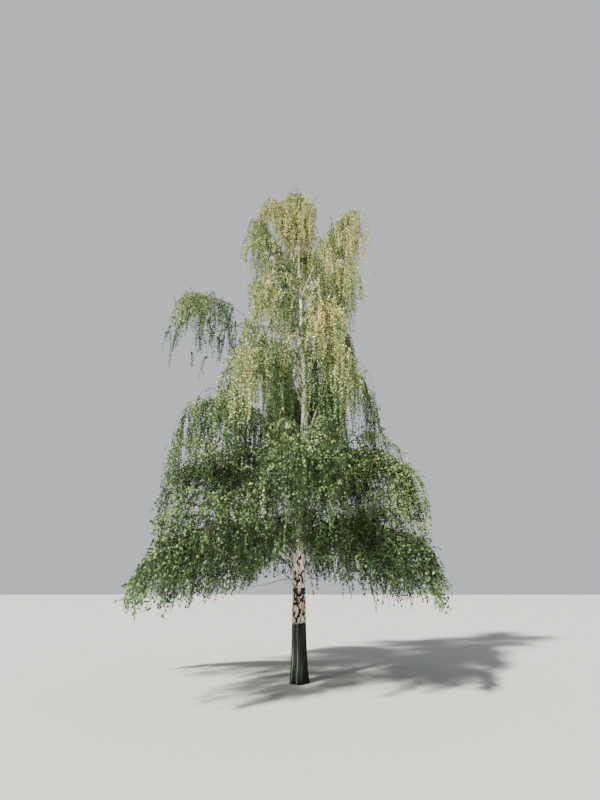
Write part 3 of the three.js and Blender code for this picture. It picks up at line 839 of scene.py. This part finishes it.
# Long strands hang free, and short sprays stand out from the shoot. In fanned masses both point outwards.
BLADE_LENGTH = 0.85      # of the longest strands, as a share of the mass's hang, with the limits below
BLADE_SHORTEST = 0.56
BLADE_LONGEST = 1.05
STRAND_STRETCH = {"low": 1.1, "middle": 1.55, "upper": 1.1, "arm": 1.05, "shoulder": 1.2, "else": 1}
STRAND_SIZES = (0.5, 1.1)    # from one strand to another
STRAND_OUT = (0.03, 0.2)     # how far its end lies out from its root
STRAND_LIFT = 0.12       # the most that a strand rises before it falls
STRAND_CURVE = 3         # how soon it bends down
STRAND_DROOP = 1.15
STRAND_SWAY = 0.04
STRAND_WAVE = 4
CURTAIN_CELLS = (1.6, 1.6, 0.8)
CURTAIN_LEAST = 0.3      # neighbours share a length, this much of the longest or more
CURTAIN_RANGE = 0.9
WAY_CELLS = 4            # to a metre, of the noise that turns neighbours the same way
WAY_TURNS = 2            # over its whole range
WAY_SCATTER = 0.5        # radians
SPRAY_SHARE = {"skirt": 0.85, "low": 0.72, "else": 0.40}
SPRAY_OUT = {"skirt": (0.12, 0.36), "low": (0.12, 0.34), "else": (0.08, 0.25)}
SPRAY_FALL = {"skirt": (-0.12, 0.48), "low": (-0.12, 0.26), "top": (-0.36, 0.12), "leader": (-0.42, 0.12),
              "shoulder": (-0.32, 0.12), "crest": (-0.28, 0.12), "arm": (-0.30, 0.12), "else": (-0.14, 0.12)}
FANNED = ("skirt", "low")
FAN_SCATTER = 0.8
LEVEL_LENGTHS = (0.2, 0.05)  # what sprays and strands run across, in reckoning their length

# The lower trunk is bare in front, and the upper trunk shows between some heights.
BARE_TOP = 2.4           # what hangs in front of the trunk ends here, as the camera sees it
BARE_HALF = 0.24
BARE_MARGIN = 0.1
FRONT_STRETCH = 2        # the low masses hang longer there
TRUNK_WINDOWS = ((4.6, 6.0), (7.3, 10.9))
WINDOW_HALF = 0.12
WINDOW_VEIL = 0.15       # share of the foliage that is left in front of a window


def strand_at(strands, which, shares):
    """Points on the hanging strands, by number, at shares of their length."""
    s = shares[:, None]
    out = strands["way"][which] * (strands["out"][which, None] * (1 - np.exp(-STRAND_CURVE * s)))
    wave = STRAND_SWAY * np.sin(STRAND_WAVE * s + strands["phase"][which, None]) * s
    lift = strands["lift"][which, None] * s * (1 - s) * 2
    down = strands["fall"][which, None] * (s ** STRAND_DROOP) - lift
    return strands["start"][which] + out + strands["side"][which] * wave - np.array([0, 0, 1.0]) * down


def before_trunk(starts):
    """Which starts are in front of the trunk, and how low what hangs from each may come."""
    before = (starts[:, 1] < 0) & (np.abs(starts[:, 0] - trunk_middle(starts[:, 2])) < BARE_HALF)
    return before, EYE_HEIGHT + (BARE_TOP - EYE_HEIGHT) * (STAND_OFF + starts[:, 1]) / STAND_OFF


def hang_strands(limb, starts, streak, rng):
    """The strands of a mass as one table of arrays, with a row for each start."""
    count = len(starts)
    longest = min(max(BLADE_LENGTH * limb["hang"], BLADE_SHORTEST), BLADE_LONGEST)
    longest *= by_tier(STRAND_STRETCH, limb)
    bearing = WAY_TURNS * 2 * math.pi * noise(starts * WAY_CELLS, seed=47)
    bearing = bearing + rng.normal(0, WAY_SCATTER, count)
    if limb["name"] in FANNED:
        bearing = np.arctan2(starts[:, 1], starts[:, 0]) + rng.normal(0, FAN_SCATTER, count)
    short = rng.random(count) < by_tier(SPRAY_SHARE, limb)
    curtain = CURTAIN_LEAST + CURTAIN_RANGE * noise(starts * CURTAIN_CELLS, seed=41)
    spray_fall = rng.uniform(*by_tier(SPRAY_FALL, limb), count)
    strand_fall = longest * curtain * rng.uniform(*STRAND_SIZES, count)
    fall = np.where(short, spray_fall, strand_fall)
    before, bare_top = before_trunk(starts)
    if limb["name"] == "low":
        fall = np.where(before & ~short, FRONT_STRETCH * fall, fall)
    fall = np.where(before, np.minimum(fall, starts[:, 2] - bare_top), fall)
    spray_out = rng.uniform(*by_tier(SPRAY_OUT, limb), count)
    strand_out = rng.uniform(*STRAND_OUT, count)
    return dict(
        start=starts,
        streak=streak,
        way=np.stack([np.cos(bearing), np.sin(bearing), np.zeros(count)], axis=1),
        side=np.stack([-np.sin(bearing), np.cos(bearing), np.zeros(count)], axis=1),
        out=np.where(short, spray_out, strand_out),
        lift=np.where(short, 0.0, rng.uniform(0.0, STRAND_LIFT, count)),
        phase=rng.uniform(0, 2 * math.pi, count),
        short=short,
        fall=fall,
        length=np.hypot(fall, np.where(short, *LEVEL_LENGTHS)),
    )


STRAND_REACH = 0.10      # how far a strand may pass the reach of the plain solids
STRAND_MIDDLE = 0.4      # the outline is kept here and at the tip


def clear_strands(limb, strands, rng):
    """Which strands keep to the outline and leave the trunk's bare foot and its windows clear."""
    starts = strands["start"]
    count = len(starts)
    nearness = STAND_OFF / (STAND_OFF + starts[:, 1])
    height = EYE_HEIGHT + (starts[:, 2] - strands["fall"] / 2 - EYE_HEIGHT) * nearness
    window = np.any([(height > foot) & (height < top) for foot, top in TRUNK_WINDOWS], axis=0)
    window &= starts[:, 1] < 0
    window &= np.abs(starts[:, 0] * nearness - trunk_middle(height)) < WINDOW_HALF
    kept = ~window | (rng.random(count) < WINDOW_VEIL)
    before, bare_top = before_trunk(starts)
    kept &= ~before | (starts[:, 2] > bare_top + BARE_MARGIN)
    everyone = np.arange(count)
    tips = strand_at(strands, everyone, np.ones(count))
    middles = strand_at(strands, everyone, np.full(count, STRAND_MIDDLE))
    kept &= in_reach(tips, STRAND_REACH) & in_outline(tips, limb, rng)
    kept &= in_outline(middles, limb, rng)
    return kept


STREAK_CELLS = (2.8, 2.8, 1.1)   # strands hang in clumps between gaps, where this noise is low
STREAK_GAP = {"skirt": 0.2, "middle": 0.40, "upper": 0.38, "high": 0.34, "top": 0.12, "leader": 0.05,
              "else": 0.29}
LEAST_STRANDS = 4        # on a shoot

growth = []
for number, limb in enumerate(limbs):
    rng = np.random.default_rng(limb["seed"])
    shoots = grow_shoots(limb, number, rng, side_shoot, limb["shoots"] * by_tier(SHOOTS_TO_ONE, limb))
    shoots += grow_shoots(limb, number, rng, riser, by_tier(RISERS, limb)) + trunk_shoots[number]
    if limb["bare"] > 0:
        shoots += grow_shoots(limb, number, rng, fork_shoot, FORK_SHOOTS * len(FORKS))
    starts, carrier = strand_starts(limb, shoots, rng)
    streak = noise(starts * STREAK_CELLS, seed=43)
    hung = streak > by_tier(STREAK_GAP, limb)
    carrier = carrier[hung]
    strands = hang_strands(limb, starts[hung], streak[hung], rng)
    kept = clear_strands(limb, strands, rng)
    # a shoot that would be all but bare is left out, with what hangs from it
    laden = np.bincount(carrier[kept], minlength=carrier.max() + 1) >= LEAST_STRANDS
    laden[len(shoots):] = True
    kept &= laden[carrier]
    shoots = np.array(shoots)[laden[:len(shoots)]]
    strands = {name: values[kept] for name, values in strands.items()}
    # the leaves go on drawing from the same rng
    growth.append(dict(limb=limb, shoots=shoots, strands=strands, count=int(kept.sum()), rng=rng))

SHOOT_RADIUS = 0.007
SHOOT_TIP_RADIUS = 0.0026
SHOOT_SIDES = 4
STRAND_RADIUS = 0.0022
STRAND_TIP_RADIUS = 0.0008
STRAND_SIDES = 3
STRAND_POINTS = 4
SPRAY_POINTS = 3
GROUPS = {
    "skirt": ("skirt",), "low": ("low",), "middle": ("middle",), "upper": ("upper",), "high": ("high",),
    "summit": ("arm", "crest", "shoulder", "top", "leader"),
}
TWIG_BROWN = (0.030, 0.035, 0.017)
TWIG_RED = (0.064, 0.052, 0.029)

twig_bark, tree, shader = new_material("twig_bark", TWIG_BROWN, roughness=0.55)
colour = blend(tree, stretched_noise(tree, stretch=(1, 1, 1), scale=3, detail=2), TWIG_BROWN, TWIG_RED)
tree.links.new(colour, shader.inputs["Base Color"])

for group, tiers in GROUPS.items():
    grown = [mass for mass in growth if mass["limb"]["name"] in tiers]
    points, faces, reached = [], [], 0
    for mass in grown:
        strands = mass["strands"]
        tubes = [(mass["shoots"], np.linspace(SHOOT_RADIUS, SHOOT_TIP_RADIUS, SHOOT_POINTS), SHOOT_SIDES)]
        for chosen, rings in ((~strands["short"], STRAND_POINTS), (strands["short"], SPRAY_POINTS)):
            chosen = np.where(chosen)[0]
            which = np.repeat(chosen, rings)
            lines = strand_at(strands, which, np.tile(np.linspace(0, 1, rings), len(chosen)))
            thick = np.linspace(STRAND_RADIUS, STRAND_TIP_RADIUS, rings)
            tubes.append((lines.reshape(-1, rings, 3), thick, STRAND_SIDES))
        for lines, radii, sides in tubes:
            more, *skins = tube_skin(lines, np.tile(radii, (len(lines), 1)), sides)
            points.append(more)
            faces += [skin + reached for skin in skins]
            reached += len(more)
    twigs = mesh_of(f"twigs_{group}", np.concatenate(points), faces)
    shade_smooth(twigs)
    twigs.data.materials.append(twig_bark)
    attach(twigs, "root")
    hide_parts(*[f"mass_{mass['limb']['node']}" for mass in grown])

# Leaves
# Small pointed leaves, broad near the base and folded a little along the midrib, each a thin stalk's length
# off its strand. They hang all the way down, pale and yellow in the top, where the tint is partly painted
# sunlight, and a cool green in the skirt, with painted shade inside the crown, at its back and by the gaps
# between clumps.

LEAF_LENGTH = {"skirt": 0.056, "low": 0.050, "middle": 0.052, "upper": 0.050, "high": 0.047, "summit": 0.044}
LEAF_SIZES = (0.75, 1.15)    # from one leaf to another
LEAF_STALK = 0.010
LEAF_OUTLINE = np.array([(0, 0), (0.38, 0.36), (0, 1), (-0.38, 0.36)])
LEAF_FOLD = 0.22         # how far the sides stand up from the midrib
LEAF_GAP = 0.49          # between leaves along a strand, as a share of the leaf
LEAST_LEAVES = 4         # on a strand
LEAF_START = 0.6         # of the way to the next
LEAF_TURN = 2.4          # radians round the strand from leaf to leaf
LEAF_SCATTER = 0.5
LEAF_DROOP = (0.35, 1.35)    # radians below the level
LEAF_ROLL = 0.6


def hang_leaves(mass, length):
    """The corners of a mass's leaves, four to a leaf, and the number of the strand that each hangs from."""
    strands, rng = mass["strands"], mass["rng"]
    each = np.maximum(LEAST_LEAVES, np.round(strands["length"] / (LEAF_GAP * length))).astype(int)
    which = np.repeat(np.arange(mass["count"]), each)
    order = np.arange(len(which)) - np.repeat(np.cumsum(each) - each, each)
    base = strand_at(strands, which, (order + LEAF_START) / each[which])
    total = len(which)

    bearing = strands["phase"][which] + LEAF_TURN * order + rng.normal(0, LEAF_SCATTER, total)
    droop = rng.uniform(*LEAF_DROOP, total)
    level = np.cos(droop)
    way = np.stack([np.cos(bearing) * level, np.sin(bearing) * level, -np.sin(droop)], axis=1)
    flat = np.stack([-np.sin(bearing), np.cos(bearing), np.zeros(total)], axis=1)
    over = np.cross(flat, way)
    roll = rng.normal(0, LEAF_ROLL, total)[:, None]
    flat, over = flat * np.cos(roll) + over * np.sin(roll), over * np.cos(roll) - flat * np.sin(roll)

    size = length * rng.uniform(*LEAF_SIZES, total)
    base = base + way * LEAF_STALK
    across = LEAF_OUTLINE[:, 0][None, :, None] * size[:, None, None]
    along = LEAF_OUTLINE[:, 1][None, :, None] * size[:, None, None]
    leaf = base[:, None] + flat[:, None] * across + way[:, None] * along
    leaf += over[:, None] * np.abs(across) * LEAF_FOLD
    return leaf.reshape(-1, 3), which


LEAF_TINTS = {
    "leaf_straw": (0.79, 0.75, 0.32),
    "leaf_olive": (0.61, 0.61, 0.24),
    "leaf_moss": (0.37, 0.455, 0.17),
    "leaf_sage": (0.21, 0.31, 0.13),
    "leaf_green": (0.125, 0.225, 0.066),
    "leaf_cool": (0.062, 0.138, 0.036),
    "leaf_deep": (0.030, 0.060, 0.012),
    "leaf_lime": (0.24, 0.32, 0.10),
}

leaf_materials = []
for name, colour in LEAF_TINTS.items():
    material, tree, shader = new_material(name, colour, roughness=0.5)
    shader.inputs["Specular IOR Level"].default_value = 0.5
    leaf_materials.append(material)

# All the leaves of a strand have one tint. Its tone is a place among the tints above, from 0 for straw.
# painted light and shade by height: the pale straw of the top stands partly for sunlight and light through
# its leaves, the dark green of the foot partly for the shade under the tiers above
FOOT_TONE = 5.4
TOP_TONE = 0.9
TONE_HEIGHTS = (2.5, 9.0)    # over which one turns into the other
TONE_SHIFT = {"arm": 3.8, "top": -0.8, "leader": -1.3, "middle": 0.5, "low": 0.3, "skirt": -0.3, "else": 0}
TONE_PLACE = 0.4         # of the strand's length, where its height is read
STRAND_TONE = 1.3        # how much single strands differ
GAP_SHADE_TONE = 2.5        # painted shade: the edges of a clump of strands, by the gaps, are darker than its middle
STREAK_MIDDLE = 0.5
SPRAY_TONE = 0.3         # sprays are paler than strands
CLUMP_CELLS = (0.9, 2.7)     # to a metre, of the broad clumps of one tone and of the small ones in them
SMALL_CLUMPS = 0.5
CLUMP_MIDDLE = 0.75
CLUMP_TONES = (3.0, 4.6)     # how much clumps differ, low and high in the crown
CLUMP_HEIGHTS = (4, 8)
INNER_SHADE_TONES = (2.0, 1.6)     # painted shade: how much darker the inside of the crown is, low and high
INNER_HEIGHTS = (4, 9)
INNER_MIDDLE = 0.25
INNER_MARGIN = 0.3
BACK_DEPTHS = (-0.1, 0.8)    # over which the crown's front turns into its back
BACK_SHADE_TONE = 1.0          # painted shade: how much darker the back is, high up
BACK_HEIGHTS = (5, 9)
BACK_CALM = 0.5          # and how much less its clumps differ
FOOT_PALEST = 3          # no strand at the foot is paler than this
PALEST_HEIGHTS = (2.4, 5.5)
# middle and reach of three yellower clumps, the tint that stands last in the list
LIME_CLUMPS = (((-2.7, -0.5, 2.9), 1.2), ((1.8, -0.9, 3.6), 1.4), ((-1.1, -1.6, 3.3), 0.7))
LIME_SPARED = 0.25       # share of the strands in their middle that keep their own tint


def strand_tints(mass):
    """The number of each strand's tint, by its height and depth and the clump that it hangs in, with painted
    light at the top and painted shade inside the crown, at its back and by the gaps.
    """
    limb, strands, rng = mass["limb"], mass["strands"], mass["rng"]
    start, count = strands["start"], mass["count"]
    height = start[:, 2] - TONE_PLACE * strands["length"]
    clump = noise(start * CLUMP_CELLS[0], seed=31) + SMALL_CLUMPS * noise(start * CLUMP_CELLS[1], seed=37)
    axis = np.stack([trunk_middle(height), 0 * height], axis=1)
    inner = 1 - np.linalg.norm(start[:, :2] - axis, axis=1) / (limb["reach"] + INNER_MARGIN)
    behind = smooth(*BACK_DEPTHS, start[:, 1])
    clumpy = mix(*CLUMP_TONES, smooth(*CLUMP_HEIGHTS, height)) * (1 - BACK_CALM * behind)
    inner_shade = mix(*INNER_SHADE_TONES, smooth(*INNER_HEIGHTS, height))

    # by height: paler with partly painted sunlight at the top, darker with partly painted shade at the foot
    tone = mix(FOOT_TONE, TOP_TONE, smooth(*TONE_HEIGHTS, height)) + by_tier(TONE_SHIFT, limb)
    # clumps that differ at random, and painted shade at the back, high up
    tone += clumpy * (clump - CLUMP_MIDDLE) + BACK_SHADE_TONE * behind * smooth(*BACK_HEIGHTS, height)
    # painted shade by the gaps, and tone that differs from strand to strand
    tone += GAP_SHADE_TONE * (STREAK_MIDDLE - strands["streak"]) + rng.normal(0, STRAND_TONE, count)
    # painted shade inside the crown
    tone += inner_shade * (np.clip(inner, 0, 1) - INNER_MIDDLE)
    tone += np.where(strands["short"], -SPRAY_TONE, SPRAY_TONE)
    palest = FOOT_PALEST * (1 - smooth(*PALEST_HEIGHTS, height))
    tint = np.round(np.clip(tone, palest, len(leaf_materials) - 2)).astype(int)
    for middle, reach in LIME_CLUMPS:
        apart = np.linalg.norm(start - middle, axis=1) / reach
        tint[rng.random(count) > apart * apart + LIME_SPARED] = len(leaf_materials) - 1
    return tint


for group, tiers in GROUPS.items():
    grown = [mass for mass in growth if mass["limb"]["name"] in tiers]
    points, tints = [], []
    for mass in grown:
        corners, which = hang_leaves(mass, LEAF_LENGTH[group])
        points.append(corners)
        tints.append(strand_tints(mass)[which])
    points = np.concatenate(points)
    quads = np.arange(len(points)).reshape(-1, 4)
    leaves = mesh_of(f"leaves_{group}", points, [quads], np.concatenate(tints))
    for material in leaf_materials:
        leaves.data.materials.append(material)
    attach(leaves, "root")
    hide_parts(*[f"mass_{mass['limb']['node']}" for mass in grown])
